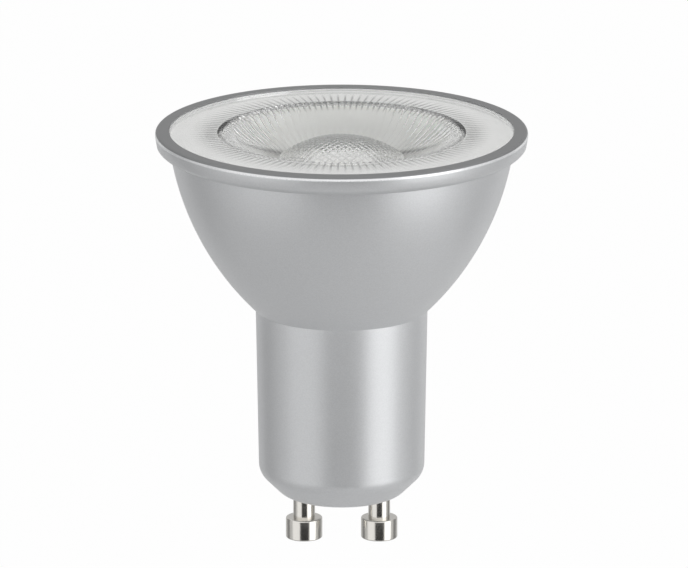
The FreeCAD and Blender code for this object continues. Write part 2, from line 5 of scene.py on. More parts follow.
import bmesh
import bpy
from bpy.props import FloatProperty, FloatVectorProperty, IntProperty, PointerProperty
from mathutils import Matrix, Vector


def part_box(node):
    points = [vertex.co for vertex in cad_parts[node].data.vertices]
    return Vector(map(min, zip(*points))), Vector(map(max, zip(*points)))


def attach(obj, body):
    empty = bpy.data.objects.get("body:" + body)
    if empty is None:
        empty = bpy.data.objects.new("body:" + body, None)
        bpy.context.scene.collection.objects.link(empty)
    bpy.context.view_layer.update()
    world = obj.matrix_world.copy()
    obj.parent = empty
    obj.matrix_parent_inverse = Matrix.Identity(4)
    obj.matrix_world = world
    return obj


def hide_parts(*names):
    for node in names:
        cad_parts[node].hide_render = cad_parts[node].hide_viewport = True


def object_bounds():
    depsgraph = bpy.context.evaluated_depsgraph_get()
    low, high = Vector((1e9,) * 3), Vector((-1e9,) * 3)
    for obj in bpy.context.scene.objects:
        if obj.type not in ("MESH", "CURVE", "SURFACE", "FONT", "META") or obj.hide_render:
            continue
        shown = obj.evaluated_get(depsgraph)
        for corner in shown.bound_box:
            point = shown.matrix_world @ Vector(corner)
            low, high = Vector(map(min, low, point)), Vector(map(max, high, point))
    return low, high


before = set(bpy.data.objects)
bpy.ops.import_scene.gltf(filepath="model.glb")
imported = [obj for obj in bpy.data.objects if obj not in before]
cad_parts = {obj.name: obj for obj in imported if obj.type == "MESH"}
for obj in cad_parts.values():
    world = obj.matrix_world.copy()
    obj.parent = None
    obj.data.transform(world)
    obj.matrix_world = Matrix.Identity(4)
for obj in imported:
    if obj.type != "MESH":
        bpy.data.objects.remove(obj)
CAD_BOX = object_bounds()

bl_info = {
    "name": "Spotlight Lamp",
    "version": (1, 0, 0),
    "blender": (4, 5, 0),
    "location": "View3D > Sidebar > Lamp",
    "description": "Builds the visible pieces and finishes of a twist-lock LED spotlight",
    "category": "Object",
}

HOUSING_LOW, HOUSING_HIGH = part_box("housing")
LENS_LOW, LENS_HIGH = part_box("lens")
PIN_LOW, PIN_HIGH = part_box("right_contact_pin")
PHOTO_WIDTH = 688
PHOTO_HEIGHT = 568
SENSOR_WIDTH = 36.0
BODY = "root"
CREASE = math.radians(35)
LENS_CREASE = math.radians(28)
HOUSING_SEGMENTS = 192
PIN_SEGMENTS = 96


# Property helpers
def length(name, description, default):
    return FloatProperty(name=name, description=description, default=default, min=0.0,
                         unit="LENGTH", subtype="DISTANCE", precision=5)


def distance(name, description, default):
    return FloatProperty(name=name, description=description, default=default, unit="LENGTH",
                         subtype="DISTANCE", precision=5)


def angle(name, description, degrees):
    return FloatProperty(name=name, description=description, default=math.radians(degrees),
                         unit="ROTATION", subtype="ANGLE")


def share(name, description, default):
    return FloatProperty(name=name, description=description, default=default, min=0.0, max=1.0,
                         subtype="FACTOR")


def count(name, description, default):
    return IntProperty(name=name, description=description, default=default, min=3)


def strength(name, description, default):
    return FloatProperty(name=name, description=description, default=default, min=0.0)


def colour(name, description, default):
    return FloatVectorProperty(name=name, description=description, default=default, size=3,
                               min=0.0, max=1.0, subtype="COLOR")


class HousingSizes(bpy.types.PropertyGroup):
    """Outline of the painted housing, from the base face up"""

    base_height: length("Base height", "Height of the sloping foot", 0.0033)
    neck_length: length("Neck length", "Height of the straight neck", 0.0223)
    bowl_height: length("Bowl height", "Height of the flared bowl", 0.0217)
    underside_height: length("Underside height", "Height of the step under the rim", 0.00075)
    base_face_radius: length("Base face radius", "Radius of the flat base face", 0.0077)
    neck_bottom_radius: length("Neck bottom radius", "Radius at the foot of the neck", 0.0110)
    neck_top_radius: length("Neck top radius", "Radius where the neck meets the bowl", 0.0114)
    rim_radius: length("Rim radius", "Radius of the rim before its edge is rounded", 0.02475)
    rim_draft: length("Rim draft", "How much the rim narrows towards its underside", 0.00031)
    rim_overhang: length("Rim overhang", "How far the rim stands out from the bowl", 0.00175)
    bowl_bulge: length("Bowl bulge", "How far the bowl swells out from a straight cone", 0.0020)
    underside_bulge: length("Underside bulge", "Swell of the step under the rim", 0.00028)
    base_corner: length("Base corner", "Rounding of the base face", 0.0030)
    neck_corner: length("Neck corner", "Rounding at the foot of the neck", 0.0026)
    rim_edge: length("Rim edge", "Rounding of the rim's outer edge", 0.0005)
    ring_width: length("Ring width", "Width of the flat ring around the lens", 0.00195)
    wall: length("Wall", "Wall thickness", 0.0013)
    cup_sheet: length("Cup sheet", "Thickness of the cup's flange under the lens", 0.0006)
    base_thickness: length("Base thickness", "Thickness of the base", 0.0018)
    board_offset: length("Board offset", "How far the driver board lies from the axis", 0.0025)
    guide_gap: length("Guide gap", "Width of the slot that holds the driver board", 0.0014)
    guide_thickness: length("Guide thickness", "Thickness of each wall of the slot", 0.0009)
    guide_reach: length("Guide reach", "How far the slot walls stand into the neck", 0.0018)


class LensSizes(bpy.types.PropertyGroup):
    """Moulded lens, from its ribbed ring to the well over the light source"""

    edge_thickness: length("Edge thickness", "Thickness of the outer ring", 0.0010)
    seat_gap: length("Seat gap", "Air under the lens where it rests", 0.00005)
    cup_radius: length("Cup radius", "Radius of the hollow in the face", 0.0159)
    cup_depth: length("Cup depth", "Depth of the hollow", 0.0034)
    dome_radius: length("Dome radius", "Radius of the beaded dome", 0.0082)
    dome_height: length("Dome height", "Height of the dome over the hollow's floor", 0.00265)
    bead_pitch: length("Bead pitch", "Distance between the beads on the dome", 0.00075)
    bead_height: length("Bead height", "Height of the beads", 0.00007)
    bead_relief: length("Bead relief", "Height of the beads' sharper relief in the finish", 0.00003)
    rib_count: count("Ribs", "Radial ribs on the outer ring", 120)
    rib_height: length("Rib height", "Height of the ribs", 0.00001)
    rib_start_radius: length("Rib start radius", "Radius where the ribs start to rise", 0.0164)
    rib_full_radius: length("Rib full radius", "Radius where the ribs reach their full height", 0.0170)
    rib_fade_radius: length("Rib fade radius", "Radius where the ribs start to run out", 0.0180)
    rib_end_radius: length("Rib end radius", "Radius where the ribs have run out", 0.0204)
    line_start_radius: length("Line start radius", "Radius where the lines between ribs start", 0.0142)
    line_full_radius: length("Line full radius", "Radius where those lines are darkest", 0.0150)
    line_end_radius: length("Line end radius", "Radius where those lines have run out", 0.0202)
    edge_line_width: length("Edge line width", "Width of the line along the cup's edge", 0.0004)
    line_blur: length("Line blur", "Width of the soft border of that line", 0.00005)
    scallop_depth: length("Scallop depth", "Depth of the hollows round the cup's edge", 0.00015)
    scallop_outer_radius: length("Scallop outer radius", "Radius at the hollows' steep ends", 0.01645)
    scallop_inner_radius: length("Scallop inner radius", "Radius at the hollows' round ends", 0.01515)
    scallop_share: share("Scallop share", "Width of a hollow as a share of a rib", 0.84)
    scallop_edge: length("Scallop edge", "Width of the hollows' sloping edges", 0.00012)
    facet_count: count("Facets", "Panels around the back of the lens", 80)
    facet_swell: length("Facet swell", "How far each panel swells out in the middle", 0.00014)
    collimator_radius: length("Collimator radius", "Radius of the back cone at the outer ring", 0.0162)
    collimator_bulge: length("Collimator bulge", "Swell of the back cone", 0.0019)
    collar_radius: length("Collar radius", "Outer radius of the collar on the LED board", 0.007107)
    collar_wall: length("Collar wall", "Wall of the collar", 0.0011)
    collar_step: length("Collar step", "Step from the collar out to the cone", 0.0003)
    collar_height: length("Collar height", "Height of the collar", 0.0013)
    well_radius: length("Well radius", "Radius of the well over the light source", 0.0038)
    well_depth: length("Well depth", "Depth of the straight part of the well", 0.0032)
    well_crown: length("Well crown", "Height of the well's round end", 0.0008)


class PinSizes(bpy.types.PropertyGroup):
    """Contact pins with broad heads"""

    head_height: length("Head height", "Height of the broad head", 0.00283)
    head_edge: length("Head edge", "Rounding of the head's edges", 0.0002)
    neck_radius: length("Neck radius", "Radius of the shank", 0.00145)
    flange_radius: length("Flange radius", "Radius of the flange inside the base", 0.0021)
    flange_height: length("Flange height", "Height of that flange", 0.0006)
    tail_radius: length("Tail radius", "Radius of the end that takes the wire", 0.0012)
    bore_radius: length("Bore radius", "Radius of the hole for the wire", 0.0006)
    bore_depth: length("Bore depth", "Depth of the hole for the wire", 0.0042)
    hole_clearance: length("Hole clearance", "Space around the shank in the base", 0.00005)


class LampColours(bpy.types.PropertyGroup):
    """Colours of the pieces that show"""

    paint: colour("Paint", "Silver paint of the housing", (0.725, 0.735, 0.747))
    # Painted shade on the ring around the lens, whose face gets little light from above
    ring_painted_shade: share("Ring shade", "How much darker the paint is on the ring around the lens", 0.58)
    edge_glint: share("Edge glint", "How much brighter the paint is on the rim's edge", 0.65)
    # Painted shade on the step under the rim's overhang
    step_painted_shade: share("Step shade", "How much darker the paint is on the step under the rim", 0.12)
    lens: colour("Lens", "Tint of the clear lens", (0.995, 0.998, 0.993))
    # Painted shade in thin dark lines on the lens, between ribs, between beads and along the cup's edge
    rib_painted_shade: share("Rib shade", "How much darker the lens is between its ribs", 0.72)
    bead_painted_shade: share("Bead shade", "How much darker the lens is between the beads", 0.45)
    edge_painted_shade: share("Edge shade", "How much darker the lens is along the cup's edge", 0.60)
    nickel: colour("Nickel", "Plating of the contact pins", (0.74, 0.72, 0.68))
    aluminium: colour("Aluminium", "Pressed cup behind the lens", (0.98, 0.98, 0.97))
    # Painted shade on the cup's flange under the lens and on its foot around the LED board
    flange_painted_shade: share("Flange shade", "How much darker the cup is where the lens rests on it", 0.31)
    foot_painted_shade: share("Foot shade", "How much darker the cup is around the LED board", 0.80)
    board: colour("LED board", "Solder mask of the LED board", (0.50, 0.50, 0.49))
    ceramic: colour("Ceramic", "Body of the light source", (0.45, 0.45, 0.435))
    phosphor: colour("Phosphor", "Yellow layer of the light source", (0.64, 0.57, 0.34))
    screw: colour("Screws", "Zinc of the two screws", (0.62, 0.63, 0.64))
    pad: colour("Thermal pad", "Soft pad under the LED board", (0.52, 0.56, 0.62))


class DriverColours(bpy.types.PropertyGroup):
    """Colours of the driver board and what stands on it"""

    board: colour("Driver board", "Solder mask of the driver board", (0.03, 0.20, 0.08))
    sleeve: colour("Capacitor sleeve", "Shrunk sleeve of the capacitor", (0.02, 0.025, 0.05))
    bung: colour("Capacitor bung", "Rubber end of the capacitor", (0.03, 0.03, 0.03))
    ferrite: colour("Ferrite", "Core of the inductor", (0.035, 0.035, 0.04))
    winding: colour("Winding", "Enamelled copper wire", (0.55, 0.20, 0.07))
    film: colour("Film capacitor", "Moulded box of the film capacitor", (0.42, 0.10, 0.05))
    varistor: colour("Varistor", "Dipped coat of the varistor", (0.03, 0.11, 0.36))
    resistor: colour("Resistor", "Coat of the fusible resistor", (0.12, 0.30, 0.16))
    package: colour("Packages", "Moulded bodies of the chips", (0.025, 0.025, 0.028))
    chip: colour("Chip resistors", "Bodies of the small resistors", (0.08, 0.08, 0.09))
    tin: colour("Tinned leads", "Tinned copper leads", (0.70, 0.69, 0.66))
    solder: colour("Solder", "Solder joints", (0.62, 0.62, 0.62))
    live_and_neutral: colour("Mains wires", "Sleeves of the wires from the pins", (0.72, 0.72, 0.70))
    positive: colour("Positive wire", "Sleeve of the positive LED wire", (0.55, 0.03, 0.025))
    negative: colour("Negative wire", "Sleeve of the negative LED wire", (0.02, 0.02, 0.02))


class StageSettings(bpy.types.PropertyGroup):
    """Camera, floor and studio light"""

    camera_distance: length("Camera distance", "From the camera to the lamp", 1.5)
    camera_elevation: angle("Camera elevation", "How far the camera looks down", 15.7)
    focal_pixels: strength("Focal length", "Focal length in pixels of the picture", 11296.0)
    centre_height: length("Centre height", "Height on the lamp's axis that the camera circles", 0.027)
    centre_pixel_x: strength("Centre pixel x", "Where that point lies in the picture", 341.65)
    centre_pixel_y: strength("Centre pixel y", "Where that point lies in the picture", 341.76)
    floor: colour("Floor", "Pale floor", (0.92, 0.92, 0.92))
    floor_radius: length("Floor radius", "Size of the floor", 4.0)
    floor_gap: length("Floor gap", "Space between the pins and the floor", 0.00002)
    floor_glow: share("Floor glow", "How much of the floor shows as plain white", 0.985)
    room_strength: strength("Room light", "Even light from all round", 0.86)
    ceiling_shade: share("Ceiling shade", "How much weaker the room light is from above", 0.95)
    softbox_distance: length("Softbox distance", "From the lamp to each softbox", 0.7)
    softbox_width: length("Softbox width", "Width of each softbox", 0.50)
    softbox_top: length("Softbox top", "How far each softbox reaches up", 0.60)
    softbox_bottom: length("Softbox bottom", "How far each softbox reaches down", 0.45)
    right_turn: angle("Right softbox", "Angle of the right softbox from the camera", 57.0)
    right_glow: strength("Right glow", "Brightness of the right softbox", 0.95)
    left_turn: angle("Left softbox", "Angle of the left softbox from the camera", 52.0)
    left_glow: strength("Left glow", "Brightness of the left softbox", 0.03)
    card_radius: length("Card radius", "From the lamp to the cards", 0.65)
    front_card_turn: angle("Front card", "Half the angle that the dark front card takes up", 29.0)
    front_card_place: angle("Front card place", "Angle of the middle of the front card", 3.0)
    front_card_shade: share("Front shade", "Grey of the front card", 0.02)
    back_card_turn: angle("Back card", "Half the angle that the grey back card takes up", 102.0)
    back_card_shade: share("Back shade", "Grey of the back card", 0.59)
    left_card_place: angle("Left card", "Angle of the dark card on the left from the camera", 118.0)
    right_card_place: angle("Right card", "Angle of the dark card on the right from the camera", 116.0)
    side_card_turn: angle("Side cards", "Half the angle that each side card takes up", 15.0)
    side_card_radius: length("Side card radius", "From the lamp to the side cards", 0.637)
    side_card_shade: share("Side shade", "Grey of the side cards", 0.25)
    front_card_top: distance("Front card top", "Height of the front card's upper edge", -0.07)
    back_card_top: distance("Back card top", "Height of the back card's upper edge", 0.50)
    card_drop: length("Card drop", "How far the cards reach below the lamp", 0.45)
    low_card_shade: share("Low shade", "Grey of the card below the lamp", 0.51)


class LampSettings(bpy.types.PropertyGroup):
    """All settings of the lamp"""

    housing: PointerProperty(type=HousingSizes, name="Housing", description="Housing outline")
    lens: PointerProperty(type=LensSizes, name="Lens", description="Lens sizes")
    pins: PointerProperty(type=PinSizes, name="Pins", description="Pin sizes")
    colours: PointerProperty(type=LampColours, name="Colours", description="Colours that show")
    driver: PointerProperty(type=DriverColours, name="Driver", description="Driver board colours")
    stage: PointerProperty(type=StageSettings, name="Stage", description="Camera and light")


# Shader expressions
class Wire:
    """An output socket that stands in Python expressions, which add the nodes they need."""

    def __init__(self, graph, socket):
        self.graph = graph
        self.socket = socket

    def __add__(self, other):
        return self.graph.combine("ADD", self, other)

    def __radd__(self, other):
        return self.graph.combine("ADD", other, self)

    def __sub__(self, other):
        return self.graph.combine("SUBTRACT", self, other)

    def __rsub__(self, other):
        return self.graph.combine("SUBTRACT", other, self)

    def __mul__(self, other):
        return self.graph.combine("MULTIPLY", self, other)

    def __rmul__(self, other):
        return self.graph.combine("MULTIPLY", other, self)

    def __mod__(self, other):
        return self.graph.combine("FLOORED_MODULO", self, other)

    def __rmod__(self, other):
        return self.graph.combine("FLOORED_MODULO", other, self)


class Graph:
    """Node tree of a material or world."""

    def __init__(self, owner):
        owner.use_nodes = True
        self.owner = owner
        self.tree = owner.node_tree
        self.tree.nodes.clear()

    @staticmethod
    def find(sockets, key):
        """Socket by its place, or by its identifier, which is unique where names repeat."""
        if isinstance(key, int):
            return sockets[key]
        for socket in sockets:
            if socket.identifier == key:
                return socket
        raise KeyError(key)

    def node(self, kind, settings=None, sockets=None, output=0):
        """Add a node, set it up, fill its sockets and give one of its outputs."""
        made = self.tree.nodes.new(kind)
        for name, value in (settings or {}).items():
            setattr(made, name, value)
        for key, value in (sockets or {}).items():
            socket = self.find(made.inputs, key)
            if isinstance(value, Wire):
                self.tree.links.new(value.socket, socket)
            else:
                socket.default_value = value
        if not made.outputs:
            return None
        return Wire(self, self.find(made.outputs, output))

    def combine(self, operation, first, second):
        """First and second joined by the node that suits what they carry."""
        kinds = {item.socket.type for item in (first, second) if isinstance(item, Wire)}
        if "RGBA" in kinds:
            return self.blend(operation, first, second)
        if "VECTOR" in kinds:
            return self.node("ShaderNodeVectorMath", {"operation": operation}, {0: first, 1: second})
        return self.node("ShaderNodeMath", {"operation": operation}, {0: first, 1: second})

    def blend(self, operation, first, second):
        """Colours, or a colour and a value, joined by a Mix node."""
        settings = {"data_type": "RGBA", "blend_type": operation}
        sockets = {"Factor_Float": 1.0, "A_Color": rgba(first), "B_Color": rgba(second)}
        return self.node("ShaderNodeMix", settings, sockets, "Result_Color")

    def greatest(self, *wires):
        """Largest of some values."""
        largest = wires[0]
        for wire in wires[1:]:
            largest = self.node("ShaderNodeMath", {"operation": "MAXIMUM"}, {0: largest, 1: wire})
        return largest

    def rise(self, wire, low, high):
        """0 where a value is below low, 1 where it is above high and an even rise between."""
        return self.node("ShaderNodeMapRange", None, {"Value": wire, "From Min": low, "From Max": high})

    def between(self, wire, start, full, fade, end):
        """1 where a value is from full to fade, with an even rise from start and an even fall to end."""
        return self.rise(wire, start, full) * (1.0 - self.rise(wire, fade, end))

    def part(self, place, axis):
        """One part of a place, by the name of its axis."""
        return self.node("ShaderNodeSeparateXYZ", None, {"Vector": place}, axis)

    def coordinates(self, stretch=(1.0, 1.0, 1.0)):
        """Place on the piece in metres, stretched along each axis."""
        place = self.node("ShaderNodeTexCoord", output="Object")
        if stretch == (1.0, 1.0, 1.0):
            return place
        return place * stretch

    def noise(self, place, size, detail=2.0):
        """Soft noise between 0 and 1, with blotches of about the given size in metres."""
        sockets = {"Vector": place, "Scale": 1.0 / size, "Detail": detail}
        return self.node("ShaderNodeTexNoise", None, sockets, "Fac")

    def grains(self, place, size):
        """A value between 0 and 1 for each grain of the given size in metres."""
        sockets = {"Vector": place, "Scale": 1.0 / size}
        grain = self.node("ShaderNodeTexVoronoi", {"feature": "F1"}, sockets, "Color")
        return self.node("ShaderNodeSeparateColor", None, {"Color": grain}, "Red")

    def bump(self, height, depth):
        """Normal of a surface whose height goes from 0 to depth, in metres."""
        return self.node("ShaderNodeBump", None, {"Height": height, "Distance": depth}, "Normal")

    def tint(self, base, variation):
        """Colour made lighter and darker by a value about 1."""
        return self.blend("MULTIPLY", base, variation)

    def surface(self, **sockets):
        """Material with a Principled surface, whose socket names are written with underscores."""
        named = {key.replace("_", " "): value for key, value in sockets.items()}
        shader = self.node("ShaderNodeBsdfPrincipled", None, named, "BSDF")
        self.node("ShaderNodeOutputMaterial", None, {"Surface": shader})
        return self.owner


def rgba(value):
    """A colour with its alpha, a number as grey, or a wire as it is."""
    if isinstance(value, Wire):
        return value
    if isinstance(value, (int, float)):
        return (value, value, value, 1.0)
    return (*value[:3], 1.0)


# Finishes
def silver_paint(colours, sizes):
    """Satin silver paint with fine flakes and a trace of orange peel, with painted shade on the rim's face
    and on the step under the rim and a painted glint on the rim's edge.
    """
    graph = Graph(bpy.data.materials.new("silver_paint"))
    place = graph.coordinates()
    flakes = graph.grains(place, size=0.00012)
    clouds = graph.noise(place, size=0.012, detail=3.0)
    peel = graph.noise(place, size=0.0009)
    height = graph.part(place, "Z")
    below_face = HOUSING_HIGH[2] - height
    edge = sizes.rim_edge
    off_ring = graph.rise(below_face, 0.4 * edge, 0.5 * edge)
    on_edge = graph.between(below_face, 0.4 * edge, 0.5 * edge, 0.8 * edge, 1.2 * edge)
    # Painted shade on the step under the rim
    step = sizes.underside_height
    step_z = HOUSING_LOW[2] + sizes.base_height + sizes.neck_length + sizes.bowl_height
    on_step = graph.between(height, step_z - 0.2 * step, step_z, step_z + 0.5 * step, step_z + step)
    # Painted glint on the rim's edge, painted shade on the ring's face and on the step under the rim
    variation = 0.95 + 0.07 * flakes + 0.03 * clouds + colours.edge_glint * on_edge
    variation = variation * (1.0 - colours.ring_painted_shade + colours.ring_painted_shade * off_ring)
    variation = variation * (1.0 - colours.step_painted_shade * on_step)
    return graph.surface(
        Base_Color=graph.tint(colours.paint, variation),
        Metallic=0.4,
        Roughness=0.33 + 0.05 * clouds + 0.04 * flakes - 0.15 * on_edge,
        Normal=graph.bump(peel, depth=0.000004),
    )


def clear_lens(colours, sizes):
    """Clear moulded acrylic with a faint haze, frosted in the light well.

    Painted shade lies in thin dark lines between the ribs, between the beads of the dome and along the cup's
    edge, where the moulding's refraction shows dark.
    """
    graph = Graph(bpy.data.materials.new("clear_lens"))
    place = graph.coordinates()
    x, y, height = (graph.part(place, axis) for axis in "XYZ")
    level = place * (1.0, 1.0, 0.0)
    from_axis = graph.node("ShaderNodeVectorMath", {"operation": "LENGTH"}, {0: level}, "Value")
    haze = graph.noise(place, size=0.004, detail=3.0)

    # Frost in the well
    frost = graph.noise(place, size=0.00008)
    roof_z = LENS_LOW[2] + sizes.collar_height + sizes.well_depth + sizes.well_crown
    in_well = 1.0 - graph.greatest(graph.rise(height, roof_z, roof_z + sizes.edge_thickness / 4),
                                   graph.rise(from_axis, sizes.collar_radius, sizes.collar_radius * 1.001))

    # Beads, with painted shade in the lines between them, and the square of the place across a bead where a
    # line starts and is full
    seam_start, seam_full = 0.12, 0.21
    cell = math.sqrt(2) * sizes.bead_pitch
    across = (x + y) * (1.0 / cell) % 1.0 - 0.5
    along = (x - y) * (1.0 / cell) % 1.0 - 0.5
    floor_z = LENS_HIGH[2] - sizes.cup_depth
    on_dome = graph.rise(height, floor_z, floor_z + 0.1 * sizes.dome_height)
    on_dome = on_dome * (1.0 - graph.rise(from_axis, 0.99 * sizes.dome_radius, sizes.dome_radius))
    beads = on_dome * (1.0 - 2.0 * (across * across + along * along))
    seams = on_dome * graph.rise(graph.greatest(across * across, along * along), seam_start, seam_full)

    # Ribs, with painted shade in the lines between them, and the square of the place across a rib where a
    # line starts and is full
    valley_start, valley_full = 0.08, 0.18
    turn = graph.node("ShaderNodeMath", {"operation": "ARCTAN2"}, {0: y, 1: x})
    from_crest = (turn * (sizes.rib_count / (2 * math.pi)) + 0.5) % 1.0 - 0.5
    above_seat = height - (LENS_HIGH[2] - sizes.edge_thickness)
    on_top = graph.rise(above_seat, 0.1 * sizes.edge_thickness, 0.2 * sizes.edge_thickness)
    valleys = on_top * graph.rise(from_crest * from_crest, valley_start, valley_full)
    valleys = valleys * graph.between(from_axis, sizes.line_start_radius, sizes.line_full_radius,
                                      sizes.rib_fade_radius, sizes.line_end_radius)
    # Painted shade along the cup's edge
    blur = sizes.line_blur
    line_end = sizes.cup_radius + sizes.edge_line_width
    edge_line = on_top * graph.between(from_axis, sizes.cup_radius - blur, sizes.cup_radius,
                                       line_end - blur, line_end + blur)

    # Painted shade from these lines, taken off the lens's colour
    painted_shade_factor = (1.0 - colours.rib_painted_shade * valleys) * (1.0 - colours.bead_painted_shade * seams)
    painted_shade_factor = painted_shade_factor * (1.0 - colours.edge_painted_shade * edge_line)
    return graph.surface(
        Base_Color=graph.tint(colours.lens, painted_shade_factor * (0.99 + 0.01 * haze)),
        Roughness=0.01 + 0.03 * haze + in_well * (0.6 + 0.2 * frost),
        Normal=graph.bump(beads, depth=sizes.bead_relief),
        IOR=1.49,
        Transmission_Weight=1.0,
    )


def turned_metal(name, base, roughness, line_size=0.00006, metallic=1.0):
    """Metal with fine lines around the axis it was turned about."""
    graph = Graph(bpy.data.materials.new(name))
    lines = graph.noise(graph.coordinates((0.05, 0.05, 1.0)), line_size, detail=3.0)
    clouds = graph.noise(graph.coordinates(), size=0.0015, detail=3.0)
    return graph.surface(
        Base_Color=graph.tint(base, 0.94 + 0.05 * lines + 0.05 * clouds),
        Metallic=metallic,
        Roughness=roughness * 0.8 + roughness * 0.4 * clouds,
        Normal=graph.bump(lines, depth=0.0000015),
    )


def moulded(name, base, roughness, grain=0.0002, depth=0.000004):
    """Plastic, rubber, enamel or ceramic with a fine grain."""
    graph = Graph(bpy.data.materials.new(name))
    place = graph.coordinates()
    speckle = graph.noise(place, grain, detail=3.0)
    clouds = graph.noise(place, grain * 12)
    return graph.surface(
        Base_Color=graph.tint(base, 0.88 + 0.12 * speckle + 0.12 * clouds),
        Roughness=roughness * 0.85 + roughness * 0.3 * clouds,
        Normal=graph.bump(speckle, depth),
    )


def circuit_board(name, base, weave_scale=320.0):
    """Solder mask over woven glass, with the weave just showing."""
    graph = Graph(bpy.data.materials.new(name))
    place = graph.coordinates()
    sockets = {"Vector": place, "Scale": weave_scale}
    warp, weft = (graph.node("ShaderNodeTexWave", {"bands_direction": direction}, sockets, "Fac")
                  for direction in "XZ")
    weave = warp * weft
    clouds = graph.noise(place, size=0.003, detail=3.0)
    return graph.surface(
        Base_Color=graph.tint(base, 0.92 + 0.06 * weave + 0.06 * clouds),
        Roughness=0.28 + 0.12 * clouds,
        Normal=graph.bump(weave, depth=0.000006),
    )


def pressed_cup(colours, flange_z, sheet):
    """Pressed sheet under thin white lacquer, with painted shade on the flange under the lens and around the
    LED board.
    """
    graph = Graph(bpy.data.materials.new("pressed_aluminium"))
    place = graph.coordinates()
    speckle = graph.noise(place, size=0.0002, detail=3.0)
    clouds = graph.noise(place, size=0.0024)
    height = graph.part(place, "Z")
    on_flange = graph.rise(height, flange_z - sheet / 3, flange_z - sheet / 6)
    # Painted shade around the LED board, at the foot of the cup
    foot_height = 0.1 * (LENS_HIGH[2] - LENS_LOW[2])
    over_foot = graph.rise(height, LENS_LOW[2], LENS_LOW[2] + foot_height)
    # Painted shade on the flange under the lens
    variation = (0.96 + 0.02 * speckle + 0.02 * clouds) * (1.0 - colours.flange_painted_shade * on_flange)
    variation = variation * (1.0 - colours.foot_painted_shade + colours.foot_painted_shade * over_foot)
    return graph.surface(
        Base_Color=graph.tint(colours.aluminium, variation),
        Roughness=0.51 + 0.18 * clouds,
        Normal=graph.bump(speckle, depth=0.000004),
    )


def finish_nodes(finishes):
    """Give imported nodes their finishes, as a material with the names of its nodes."""
    for material, nodes in finishes:
        for node in nodes:
            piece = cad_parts[node]
            piece.data.materials.clear()
            piece.data.materials.append(material)


# Mesh helpers
def cap_radius(radius, height):
    """Radius of the circle or sphere that a cap is cut from."""
    return (radius ** 2 + height ** 2) / (2 * height)


def arc_circle(start, end, bulge):
    """Centre and radius of an arc that stands off its chord by bulge, to the right of the way to its end."""
    radius = cap_radius((end - start).length / 2, bulge)
    along = (end - start).normalized()
    return (start + end) / 2 - Vector((along.y, -along.x)) * (radius - bulge), radius


def linked(name, data):
    """New object in the scene for a mesh, camera or light."""
    made = bpy.data.objects.new(name, data)
    bpy.context.scene.collection.objects.link(made)
    return made


def shaped_object(name, shaped):
    """Object made from a bmesh, which is then freed."""
    mesh = bpy.data.meshes.new(name)
    shaped.to_mesh(mesh)
    shaped.free()
    return linked(name, mesh)


class Section:
    """Outline in the r-z half plane, drawn from point to point in metres."""

    def __init__(self, r, z):
        self.points = [Vector((r, z))]

    def line(self, r, z):
        self.points.append(Vector((r, z)))
        return self

    def arc(self, r, z, bulge, steps=24):
        """Arc that stands off its chord by bulge, to the right on the way to its end."""
        start = self.points[-1]
        end = Vector((r, z))
        centre, radius = arc_circle(start, end, bulge)
        along = (end - start).normalized()
        right = Vector((along.y, -along.x))
        half_angle = math.asin(min(1.0, (end - start).length / 2 / abs(radius)))
        for step in range(1, steps + 1):
            turn = half_angle * (2 * step / steps - 1)
            across = radius * math.cos(turn) * right
            self.points.append(centre + across + abs(radius) * math.sin(turn) * along)
        return self

    def corner(self, r, z, next_r, next_z, radius, steps=10):
        """Go to a corner that is rounded off on the way to the next point."""
        tip = Vector((r, z))
        back = (self.points[-1] - tip).normalized()
        ahead = (Vector((next_r, next_z)) - tip).normalized()
        half_angle = back.angle(ahead) / 2
        centre = tip + (back + ahead).normalized() * (radius / math.sin(half_angle))
        start = tip + back * (radius / math.tan(half_angle)) - centre
        end = tip + ahead * (radius / math.tan(half_angle)) - centre
        for step in range(steps + 1):
            self.points.append(centre + start.slerp(end, step / steps).normalized() * radius)
        return self


class Skin:
    """Closed skin of rings about the lamp's axis, from one point on the axis to another."""

    def __init__(self):
        self.points = []
        self.faces = []
        self.flat_faces = set()
        self.last = []

    def pole(self, z):
        """Point on the axis, which starts the skin or closes it."""
        index = len(self.points)
        self.points.append((0.0, 0.0, z))
        for here, ahead in zip(self.last, self.last[1:] + self.last[:1]):
            self.faces.append((here, ahead, index))
        self.last = [index]

    def ring(self, segments, place, flat=False):
        """Ring whose radius and height come from place(angle), joined to the last one."""
        first = len(self.points)
        for step in range(segments):
            turn = 2 * math.pi * step / segments
            r, z = place(turn)
            self.points.append((r * math.cos(turn), r * math.sin(turn), z))
        here = list(range(first, first + segments))
        first_face = len(self.faces)
        self.join(self.last, here)
        if flat:
            self.flat_faces.update(range(first_face, len(self.faces)))
        self.last = here

    def join(self, inner, outer):
        """Faces from a pole or ring to a ring."""
        if len(inner) == 1:
            for here, ahead in zip(outer, outer[1:] + outer[:1]):
                self.faces.append((inner[0], here, ahead))
        elif len(inner) > len(outer):
            self.bridge(outer, inner)
        else:
            self.bridge(inner, outer)

    def bridge(self, coarse, fine):
        """Faces between rings, where the fine one has a whole number of points to each coarse one."""
        ratio = len(fine) // len(coarse)
        for step, corner in enumerate(coarse):
            row = [fine[(step * ratio + part) % len(fine)] for part in range(ratio + 1)]
            self.faces.append((coarse[(step + 1) % len(coarse)], corner, *row))

    def made(self, name, crease):
        """Object of this skin, smooth but for edges sharper than crease and for its flat bands."""
        mesh = bpy.data.meshes.new(name)
        mesh.from_pydata(self.points, [], self.faces)
        mesh.shade_smooth()
        for index in self.flat_faces:
            mesh.polygons[index].use_smooth = False
        return finished(name, mesh, crease)


